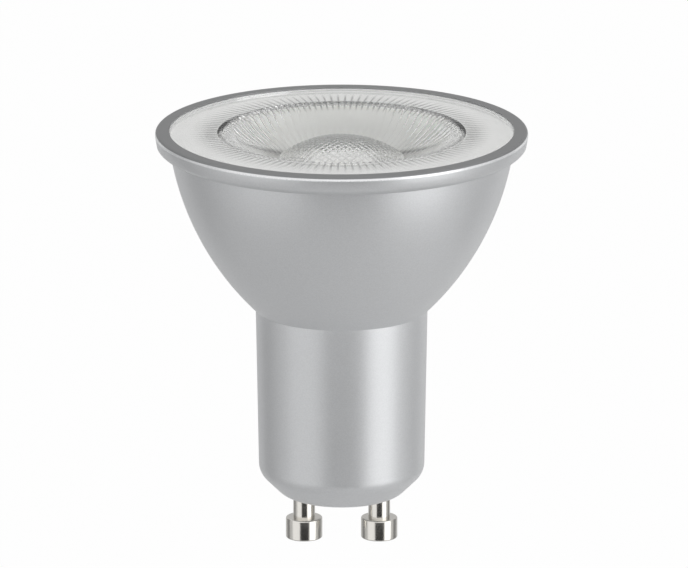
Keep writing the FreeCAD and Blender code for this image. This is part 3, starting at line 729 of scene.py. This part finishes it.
def finished(name, mesh, crease):
    """Object with outward faces and sharp edges where they bend more than crease."""
    shaped = bmesh.new()
    shaped.from_mesh(mesh)
    bmesh.ops.recalc_face_normals(shaped, faces=shaped.faces)
    shaped.to_mesh(mesh)
    shaped.free()
    mesh.set_sharp_from_angle(angle=crease)
    return linked(name, mesh)


def turned(name, section, segments):
    """Section that starts and ends on the axis, turned into a closed piece."""
    skin = Skin()
    skin.pole(section.points[0].y)
    for point in section.points[1:-1]:
        skin.ring(segments, lambda turn, at=point: (at.x, at.y))
    skin.pole(section.points[-1].y)
    return skin.made(name, CREASE)


def dress(piece, material, node):
    """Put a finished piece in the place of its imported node."""
    piece.data.materials.clear()
    piece.data.materials.append(material)
    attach(piece, BODY)
    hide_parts(node)


# Housing
def housing_section(sizes, lens):
    """Outer face from the base to the rim, then the seat of the lens and the inner face."""
    base_z = HOUSING_LOW[2]
    rim_z = HOUSING_HIGH[2]
    neck_bottom_z = base_z + sizes.base_height
    neck_top_z = neck_bottom_z + sizes.neck_length
    bowl_top_z = neck_top_z + sizes.bowl_height
    band_radius = sizes.rim_radius - sizes.rim_draft
    seat_radius = sizes.rim_radius - sizes.ring_width
    seat_z = LENS_HIGH[2] - lens.edge_thickness - sizes.cup_sheet
    floor_z = base_z + sizes.base_thickness
    bore_radius = sizes.neck_bottom_radius - sizes.wall
    bowl_start = Vector((sizes.neck_top_radius, neck_top_z))
    bowl_end = Vector((band_radius - sizes.rim_overhang, bowl_top_z))
    centre, radius = arc_circle(bowl_start, bowl_end, sizes.bowl_bulge)
    inner_radius = radius - sizes.wall
    mouth_radius = centre.x + math.sqrt(inner_radius ** 2 - (seat_z - centre.y) ** 2)
    bore_top_z = centre.y - math.sqrt(inner_radius ** 2 - (bore_radius - centre.x) ** 2)
    middle = Vector(((mouth_radius + bore_radius) / 2, (seat_z + bore_top_z) / 2))
    slope = sizes.base_height / (sizes.neck_bottom_radius - sizes.base_face_radius)
    lift = sizes.wall * math.hypot(1, slope)
    foot_z = neck_bottom_z - slope * sizes.wall + lift
    floor_radius = sizes.neck_bottom_radius + (floor_z - lift - neck_bottom_z) / slope
    section = Section(0, base_z)
    section.corner(sizes.base_face_radius, base_z, sizes.neck_bottom_radius, neck_bottom_z,
                   sizes.base_corner)
    section.corner(sizes.neck_bottom_radius, neck_bottom_z, sizes.neck_top_radius, neck_top_z,
                   sizes.neck_corner)
    section.line(sizes.neck_top_radius, neck_top_z)
    section.arc(band_radius - sizes.rim_overhang, bowl_top_z, sizes.bowl_bulge, steps=48)
    section.arc(band_radius, bowl_top_z + sizes.underside_height, sizes.underside_bulge)
    section.corner(sizes.rim_radius, rim_z, seat_radius, rim_z, sizes.rim_edge)
    section.line(seat_radius, rim_z)
    section.line(seat_radius, seat_z)
    section.line(mouth_radius, seat_z)
    section.arc(bore_radius, bore_top_z, (middle - centre).length - inner_radius)
    section.line(bore_radius, foot_z)
    section.line(floor_radius, floor_z)
    section.line(0, floor_z)
    return section, bore_radius, foot_z, neck_top_z


def add_block(shaped, low, high):
    """Box between two corners."""
    made = bmesh.ops.create_cube(shaped, size=1.0)
    middle = (Vector(low) + Vector(high)) / 2
    size = Vector(high) - Vector(low)
    for vertex in made["verts"]:
        vertex.co = middle + vertex.co * size


def guide_cutter(sizes, bore_radius, low_z, high_z):
    """Slot walls inside the neck that hold the edges of the driver board."""
    shaped = bmesh.new()
    wall_middle = bore_radius + sizes.wall / 2
    reach = sizes.guide_reach
    for side in (-1, 1):
        near = side * (bore_radius - reach)
        far = side * math.sqrt(wall_middle ** 2 - (sizes.board_offset + sizes.guide_gap) ** 2)
        for edge in (-1, 1):
            inner = -sizes.board_offset + edge * sizes.guide_gap / 2
            outer = inner + edge * sizes.guide_thickness
            low = (min(near, far), min(inner, outer), low_z)
            high = (max(near, far), max(inner, outer), high_z)
            add_block(shaped, low, high)
    return shaped_object("board_guides", shaped)


def pin_hole_cutter(sizes, pins):
    """Two rods, to cut the holes of the pins from the base."""
    shaped = bmesh.new()
    radius = pins.neck_radius + pins.hole_clearance
    pin_x = (PIN_LOW[0] + PIN_HIGH[0]) / 2
    for side in (-1, 1):
        made = bmesh.ops.create_cone(shaped, cap_ends=True, segments=64, radius1=radius, radius2=radius,
                                     depth=2 * sizes.base_thickness + pins.flange_height)
        bmesh.ops.translate(shaped, verts=made["verts"], vec=(side * pin_x, 0, HOUSING_LOW[2]))
    return shaped_object("pin_holes", shaped)


def carve(piece, operation, cutter):
    """Join a cutter to a piece or cut it away, and drop the cutter."""
    step = piece.modifiers.new(cutter.name, "BOOLEAN")
    step.operation = operation
    step.object = cutter
    step.solver = "EXACT"
    shaped = piece.evaluated_get(bpy.context.evaluated_depsgraph_get())
    mesh = bpy.data.meshes.new_from_object(shaped)
    piece.modifiers.clear()
    piece.data = mesh
    bpy.data.objects.remove(cutter)


class LAMP_OT_housing(bpy.types.Operator):
    """Build the painted housing"""

    bl_idname = "lamp.housing"
    bl_label = "Housing"

    def execute(self, context):
        settings = context.scene.spotlight
        sizes = settings.housing
        section, bore_radius, foot_z, neck_top_z = housing_section(sizes, settings.lens)
        piece = turned("housing_paintwork", section, HOUSING_SEGMENTS)
        carve(piece, "UNION", guide_cutter(sizes, bore_radius, foot_z, neck_top_z))
        carve(piece, "DIFFERENCE", pin_hole_cutter(sizes, settings.pins))
        dress(piece, silver_paint(settings.colours, sizes), "housing")
        return {"FINISHED"}


# Contact pins
def pin_section(sizes, base_thickness):
    """Head, shank through the base, flange on its floor and bored tail."""
    head_radius = (PIN_HIGH[0] - PIN_LOW[0]) / 2
    floor_z = HOUSING_LOW[2] + base_thickness
    flange_top_z = floor_z + sizes.flange_height
    tail_z = PIN_HIGH[2]
    bore_z = tail_z - sizes.bore_depth
    section = Section(0, PIN_LOW[2])
    section.corner(head_radius, PIN_LOW[2], head_radius, sizes.head_height, sizes.head_edge)
    section.corner(head_radius, sizes.head_height, sizes.neck_radius, sizes.head_height, sizes.head_edge)
    section.line(sizes.neck_radius, sizes.head_height)
    section.line(sizes.neck_radius, floor_z)
    section.line(sizes.flange_radius, floor_z)
    section.line(sizes.flange_radius, flange_top_z)
    section.line(sizes.tail_radius, flange_top_z)
    section.line(sizes.tail_radius, tail_z)
    section.line(sizes.bore_radius, tail_z)
    section.line(sizes.bore_radius, bore_z)
    section.line(0, bore_z)
    return section


class LAMP_OT_pins(bpy.types.Operator):
    """Build the two contact pins"""

    bl_idname = "lamp.pins"
    bl_label = "Contact pins"

    def execute(self, context):
        settings = context.scene.spotlight
        material = turned_metal("nickel_plate", settings.colours.nickel, roughness=0.19)
        section = pin_section(settings.pins, settings.housing.base_thickness)
        pin_x = (PIN_LOW[0] + PIN_HIGH[0]) / 2
        for name, side in (("left", -1), ("right", 1)):
            piece = turned(f"{name}_pin_turned", section, PIN_SEGMENTS)
            for vertex in piece.data.vertices:
                vertex.co.x += side * pin_x
            dress(piece, material, f"{name}_contact_pin")
        return {"FINISHED"}


# Lens
# Points around its ribbed rings and its other rings
FINE = 1200
MEDIUM = 400


def smooth_step(low, high, value):
    """0 below low, 1 above high and a smooth rise between."""
    part = min(1.0, max(0.0, (value - low) / (high - low)))
    return part * part * (3 - 2 * part)


def rib_place(sizes, turn):
    """Place across a rib, from -0.5 at one valley to 0.5 at the next."""
    return (turn * sizes.rib_count / (2 * math.pi) + 0.5) % 1.0 - 0.5


def rib_drop(sizes, r, turn):
    """Depth of the valleys between the ribs, which run out towards both ends."""
    run_in = smooth_step(sizes.rib_start_radius, sizes.rib_full_radius, r)
    run_out = 1 - smooth_step(sizes.rib_fade_radius, sizes.rib_end_radius, r)
    from_crest = smooth_step(0.1, 0.5, abs(rib_place(sizes, turn)))
    return sizes.rib_height * run_in * run_out * from_crest


def bead_rise(sizes, r, turn):
    """Height of the beads, which stand in a lattice of diamonds and run out at the dome's foot."""
    cell = math.sqrt(2) * sizes.bead_pitch
    x, y = r * math.cos(turn), r * math.sin(turn)
    across = 1 - math.cos(2 * math.pi * (x + y) / cell)
    along = 1 - math.cos(2 * math.pi * (x - y) / cell)
    run_out = 1 - smooth_step(0.92, 1.0, r / sizes.dome_radius)
    return sizes.bead_height * across * along / 4 * run_out


def scallop_drop(sizes, r, turn):
    """Depth of the hollows across the cup's edge, which end upright on the ring and round in the cup."""
    pitch = 2 * math.pi * r / sizes.rib_count
    across = rib_place(sizes, turn) * pitch
    half_width = sizes.scallop_share * pitch / 2
    round_middle = sizes.scallop_inner_radius + half_width
    side = half_width - math.hypot(across, max(0.0, round_middle - r))
    return sizes.scallop_depth * smooth_step(0, half_width, side) * (r < sizes.scallop_outer_radius)


def lens_top(skin, sizes, face_z):
    """Beaded dome, cup wall, ribbed ring and smooth edge, from the axis out."""
    cup_floor = face_z - sizes.cup_depth
    dome_top = cup_floor + sizes.dome_height
    sphere = cap_radius(sizes.dome_radius, sizes.dome_height)
    dome_rings = 64
    skin.pole(dome_top)
    for step in range(1, dome_rings + 1):
        r = sizes.dome_radius * step / dome_rings
        z = dome_top - sphere + math.sqrt(sphere ** 2 - r ** 2)
        skin.ring(MEDIUM, lambda turn, r=r, z=z: (r, z + bead_rise(sizes, r, turn)))
    wall_slope = sizes.cup_depth / (sizes.cup_radius - sizes.dome_radius)

    def ribbed(r):
        """Ring on the cup's wall or the flat, less the ribs' valleys and the hollows."""
        base_z = face_z - wall_slope * max(0.0, sizes.cup_radius - r)
        skin.ring(FINE, lambda turn: (r, base_z - rib_drop(sizes, r, turn) - scallop_drop(sizes, r, turn)))

    inner = sizes.scallop_inner_radius - sizes.scallop_edge
    skin.ring(MEDIUM, lambda turn: (inner, face_z - wall_slope * (sizes.cup_radius - inner)))
    scallop_rings = 24
    scallop_end = sizes.scallop_outer_radius - sizes.scallop_edge / 12
    for step in range(1, scallop_rings + 1):
        ribbed(inner + (scallop_end - inner) * step / scallop_rings)
    rib_rings = 14
    rib_length = sizes.rib_end_radius - sizes.scallop_outer_radius
    for step in range(rib_rings + 1):
        ribbed(sizes.scallop_outer_radius + rib_length * step / rib_rings)


def lens_back(skin, sizes, face_z, board_z):
    """Edge, flat underside, faceted cone, collar and light well, from the rim in."""
    lens_radius = LENS_HIGH[0]
    seat_z = face_z - sizes.edge_thickness + sizes.seat_gap
    foot_z = board_z + sizes.collar_height
    foot_radius = sizes.collar_radius + sizes.collar_step
    skin.ring(MEDIUM, lambda turn: (lens_radius, face_z))
    skin.ring(MEDIUM, lambda turn: (lens_radius, seat_z))
    cone = Section(foot_radius, foot_z)
    cone.arc(sizes.collimator_radius, seat_z, sizes.collimator_bulge, steps=16)

    def swollen(turn, r):
        """Radius on a panel, which is full in its middle and drops back towards its edges."""
        place = (turn * sizes.facet_count / (2 * math.pi)) % 1.0 - 0.5
        return r - sizes.facet_swell * 4 * place * place * r / sizes.collimator_radius

    for point in reversed(cone.points):
        skin.ring(2 * MEDIUM, lambda turn, at=point: (swollen(turn, at.x), at.y))
    skin.ring(MEDIUM, lambda turn: (sizes.collar_radius, foot_z), flat=True)
    skin.ring(MEDIUM, lambda turn: (sizes.collar_radius, board_z))
    pocket_radius = sizes.collar_radius - sizes.collar_wall
    skin.ring(MEDIUM, lambda turn: (pocket_radius, board_z))
    skin.ring(MEDIUM, lambda turn: (pocket_radius, foot_z))
    skin.ring(MEDIUM, lambda turn: (sizes.well_radius, foot_z))
    shoulder_z = foot_z + sizes.well_depth
    crown_radius = cap_radius(sizes.well_radius, sizes.well_crown)
    crown_rings = 8
    for step in range(crown_rings):
        r = sizes.well_radius * (1 - step / crown_rings)
        drop = crown_radius - math.sqrt(crown_radius ** 2 - r ** 2)
        skin.ring(MEDIUM, lambda turn, r=r, z=shoulder_z + sizes.well_crown - drop: (r, z))
    skin.pole(shoulder_z + sizes.well_crown)


class LAMP_OT_lens(bpy.types.Operator):
    """Build the moulded lens"""

    bl_idname = "lamp.lens"
    bl_label = "Lens"

    def execute(self, context):
        settings = context.scene.spotlight
        skin = Skin()
        lens_top(skin, settings.lens, LENS_HIGH[2])
        lens_back(skin, settings.lens, LENS_HIGH[2], LENS_LOW[2] + settings.lens.seat_gap)
        piece = skin.made("lens_moulding", LENS_CREASE)
        dress(piece, clear_lens(settings.colours, settings.lens), "lens")
        return {"FINISHED"}


# Light source and heat path
class LAMP_OT_light_engine(bpy.types.Operator):
    """Finish the pieces under the lens"""

    bl_idname = "lamp.light_engine"
    bl_label = "Light engine"

    def execute(self, context):
        settings = context.scene.spotlight
        colours = settings.colours
        flange_z = LENS_HIGH[2] - settings.lens.edge_thickness
        finish_nodes((
            (pressed_cup(colours, flange_z, settings.housing.cup_sheet), ("heat_sink_cup",)),
            (moulded("thermal_silicone", colours.pad, roughness=0.7), ("thermal_pad",)),
            (circuit_board("white_board", colours.board), ("led_board",)),
            (moulded("led_ceramic", colours.ceramic, roughness=0.4), ("led_substrate",)),
            (moulded("phosphor", colours.phosphor, roughness=0.6, grain=0.0001), ("led_phosphor",)),
            (turned_metal("zinc_screw", colours.screw, roughness=0.3), ("board_screws",)),
        ))
        return {"FINISHED"}


# Driver board
class LAMP_OT_driver(bpy.types.Operator):
    """Finish the driver board, its parts and its wires"""

    bl_idname = "lamp.driver"
    bl_label = "Driver"

    def execute(self, context):
        colours = context.scene.spotlight.driver
        packages = ("bridge_rectifier", "driver_chip", "freewheel_diode")
        copper = turned_metal("copper_winding", colours.winding, roughness=0.3, line_size=0.0003,
                              metallic=0.8)
        varistor = moulded("varistor_blue", colours.varistor, roughness=0.45, grain=0.0004, depth=0.00002)
        finish_nodes((
            (circuit_board("green_board", colours.board), ("driver_board",)),
            (moulded("capacitor_sleeve", colours.sleeve, roughness=0.35), ("smoothing_capacitor",)),
            (moulded("bung_rubber", colours.bung, roughness=0.75), ("capacitor_seal",)),
            (moulded("ferrite", colours.ferrite, roughness=0.55), ("inductor_core",)),
            (copper, ("inductor_winding",)),
            (moulded("film_box", colours.film, roughness=0.4), ("film_capacitor",)),
            (varistor, ("varistor",)),
            (moulded("resistor_green", colours.resistor, roughness=0.5), ("fusible_resistor",)),
            (moulded("package_black", colours.package, roughness=0.5), packages),
            (moulded("chip_ceramic", colours.chip, roughness=0.4), ("chip_resistors",)),
            (turned_metal("tinned_copper", colours.tin, roughness=0.25), ("component_leads",)),
            (turned_metal("solder", colours.solder, roughness=0.3, line_size=0.0003), ("solder_joints",)),
            (moulded("wire_white", colours.live_and_neutral, roughness=0.45),
             ("live_wire", "neutral_wire")),
            (moulded("wire_red", colours.positive, roughness=0.45), ("led_wire_positive",)),
            (moulded("wire_black", colours.negative, roughness=0.45), ("led_wire_negative",)),
        ))
        return {"FINISHED"}


# Stage
def make_camera(stage):
    """Camera of the photograph, aimed so that the lamp's axis lies where the picture has it."""
    data = bpy.data.cameras.new("camera")
    data.sensor_fit = "HORIZONTAL"
    data.sensor_width = SENSOR_WIDTH
    data.lens = stage.focal_pixels * SENSOR_WIDTH / PHOTO_WIDTH
    camera = linked("camera", data)
    centre = Vector((0, 0, stage.centre_height))
    away = Vector((0, -math.cos(stage.camera_elevation), math.sin(stage.camera_elevation)))
    camera.location = centre + away * stage.camera_distance
    scale = stage.camera_distance / stage.focal_pixels
    right = (PHOTO_WIDTH / 2 - stage.centre_pixel_x) * scale
    above = (stage.centre_pixel_y - PHOTO_HEIGHT / 2) * scale
    aim = centre + Vector((right, 0, above / math.cos(stage.camera_elevation)))
    camera.rotation_euler = (aim - camera.location).to_track_quat("-Z", "Y").to_euler()
    bpy.context.scene.camera = camera


def seen_directly(graph):
    """1 for rays that come from the camera, straight or by way of metal and glass."""
    names = ("Is Camera Ray", "Is Glossy Ray", "Is Transmission Ray")
    rays = [graph.node("ShaderNodeLightPath", output=name) for name in names]
    return graph.greatest(*rays)


def make_world(stage):
    """Soft light from all round, weaker from above, which shows as plain white."""
    world = bpy.data.worlds.new("studio")
    bpy.context.scene.world = world
    graph = Graph(world)
    direction = graph.node("ShaderNodeTexCoord", output="Generated")
    upward = graph.greatest(graph.part(direction, "Z"), 0.0)
    room = stage.room_strength - stage.room_strength * stage.ceiling_shade * upward
    light = graph.node("ShaderNodeBackground", None, {"Color": rgba(1.0), "Strength": room})
    white = graph.node("ShaderNodeBackground", None, {"Color": rgba(1.0), "Strength": 1.0})
    mixed = graph.node("ShaderNodeMixShader", None, {0: seen_directly(graph), 1: light, 2: white})
    graph.node("ShaderNodeOutputWorld", None, {"Surface": mixed})


def make_floor(stage):
    """Pale disc under the pins, mostly plain white to the camera, with the lamp's soft shadow."""
    shaped = bmesh.new()
    bmesh.ops.create_circle(shaped, cap_ends=True, segments=96, radius=stage.floor_radius)
    floor = shaped_object("floor", shaped)
    floor.location.z = CAD_BOX[0][2] - stage.floor_gap
    floor.visible_glossy = False
    floor.visible_shadow = False
    graph = Graph(bpy.data.materials.new("floor"))
    matt = graph.node("ShaderNodeBsdfDiffuse", None, {"Color": rgba(stage.floor)})
    white = graph.node("ShaderNodeEmission", None, {"Color": rgba(1.0), "Strength": 1.0})
    glow = stage.floor_glow * seen_directly(graph)
    mixed = graph.node("ShaderNodeMixShader", None, {0: glow, 1: matt, 2: white})
    graph.node("ShaderNodeOutputMaterial", None, {"Surface": mixed})
    floor.data.materials.append(graph.owner)


def make_softbox(name, stage, turn, glow):
    """Upright softbox that faces the lamp from the given angle beside the camera."""
    height = stage.softbox_top + stage.softbox_bottom
    data = bpy.data.lights.new(name, "AREA")
    data.shape = "RECTANGLE"
    data.size = stage.softbox_width
    data.size_y = height
    data.energy = glow * math.pi * stage.softbox_width * height
    box = linked(name, data)
    side = Vector((math.sin(turn), -math.cos(turn), 0))
    box.location = side * stage.softbox_distance
    box.location.z = (stage.softbox_top - stage.softbox_bottom) / 2
    box.rotation_euler = (-side).to_track_quat("-Z", "Y").to_euler()
    box.visible_camera = False


def make_card(name, points, faces, shade):
    """Grey card out of the picture, which shows only in metal and gloss."""
    mesh = bpy.data.meshes.new(name)
    mesh.from_pydata(points, [], faces)
    card = linked(name, mesh)
    card.visible_camera = False
    card.visible_diffuse = False
    card.visible_transmission = False
    card.visible_shadow = False
    graph = Graph(bpy.data.materials.new(name))
    grey = graph.node("ShaderNodeEmission", None, {"Color": rgba(shade), "Strength": 1.0})
    graph.node("ShaderNodeOutputMaterial", None, {"Surface": grey})
    mesh.materials.append(graph.owner)


def make_curved_card(name, radius, middle, half_turn, low, high, shade):
    """Card bent around the lamp, from one height to another."""
    columns = 24
    points = []
    faces = []
    for step in range(columns + 1):
        turn = middle + half_turn * (2 * step / columns - 1)
        side = Vector((math.sin(turn), -math.cos(turn), 0)) * radius
        points += [(side.x, side.y, low), (side.x, side.y, high)]
        if step:
            faces.append((2 * step - 2, 2 * step, 2 * step + 1, 2 * step - 1))
    make_card(name, points, faces, shade)


def make_low_card(stage):
    """Round card far below the lamp, which shows in the underside of the bowl."""
    columns = 48
    points = []
    for step in range(columns):
        turn = 2 * math.pi * step / columns
        side = Vector((math.sin(turn), math.cos(turn), 0)) * stage.card_radius
        points.append((side.x, side.y, -stage.card_drop))
    make_card("low_card", points, [tuple(range(columns))], stage.low_card_shade)


class LAMP_OT_stage(bpy.types.Operator):
    """Set the camera, the floor and the studio light"""

    bl_idname = "lamp.stage"
    bl_label = "Stage"

    def execute(self, context):
        stage = context.scene.spotlight.stage
        context.scene.view_settings.view_transform = "Standard"
        context.scene.cycles.blur_glossy = 0.0
        context.scene.cycles.max_bounces = 32
        context.scene.cycles.transmission_bounces = 32
        context.scene.cycles.glossy_bounces = 16
        context.scene.cycles.diffuse_bounces = 8
        make_camera(stage)
        make_world(stage)
        make_floor(stage)
        make_softbox("right_softbox", stage, stage.right_turn, stage.right_glow)
        make_softbox("left_softbox", stage, -stage.left_turn, stage.left_glow)
        radius = stage.card_radius
        low = -stage.card_drop
        make_curved_card("front_card", radius, stage.front_card_place, stage.front_card_turn, low,
                         stage.front_card_top, stage.front_card_shade)
        make_curved_card("back_card", radius, math.pi, stage.back_card_turn, low, stage.back_card_top,
                         stage.back_card_shade)
        for name, place in (("left_card", -stage.left_card_place), ("right_card", stage.right_card_place)):
            make_curved_card(name, stage.side_card_radius, place, stage.side_card_turn, low,
                             stage.back_card_top, stage.side_card_shade)
        make_low_card(stage)
        return {"FINISHED"}


class LAMP_PT_panel(bpy.types.Panel):
    """Buttons that build the lamp"""

    bl_idname = "LAMP_PT_panel"
    bl_label = "Spotlight Lamp"
    bl_space_type = "VIEW_3D"
    bl_region_type = "UI"
    bl_category = "Lamp"

    def draw(self, context):
        for operator in OPERATORS:
            self.layout.operator(operator.bl_idname)


GROUPS = (HousingSizes, LensSizes, PinSizes, LampColours, DriverColours, StageSettings, LampSettings)
OPERATORS = (LAMP_OT_housing, LAMP_OT_pins, LAMP_OT_lens, LAMP_OT_light_engine, LAMP_OT_driver,
             LAMP_OT_stage)
CLASSES = (*GROUPS, *OPERATORS, LAMP_PT_panel)


def register():
    for item in CLASSES:
        bpy.utils.register_class(item)
    bpy.types.Scene.spotlight = PointerProperty(type=LampSettings, name="Spotlight",
                                                description="Settings of the spotlight lamp")


def unregister():
    del bpy.types.Scene.spotlight
    for item in reversed(CLASSES):
        bpy.utils.unregister_class(item)


def main():
    register()
    bpy.ops.lamp.housing()
    bpy.ops.lamp.pins()
    bpy.ops.lamp.lens()
    bpy.ops.lamp.light_engine()
    bpy.ops.lamp.driver()
    bpy.ops.lamp.stage()


if __name__ == "__main__":
    main()
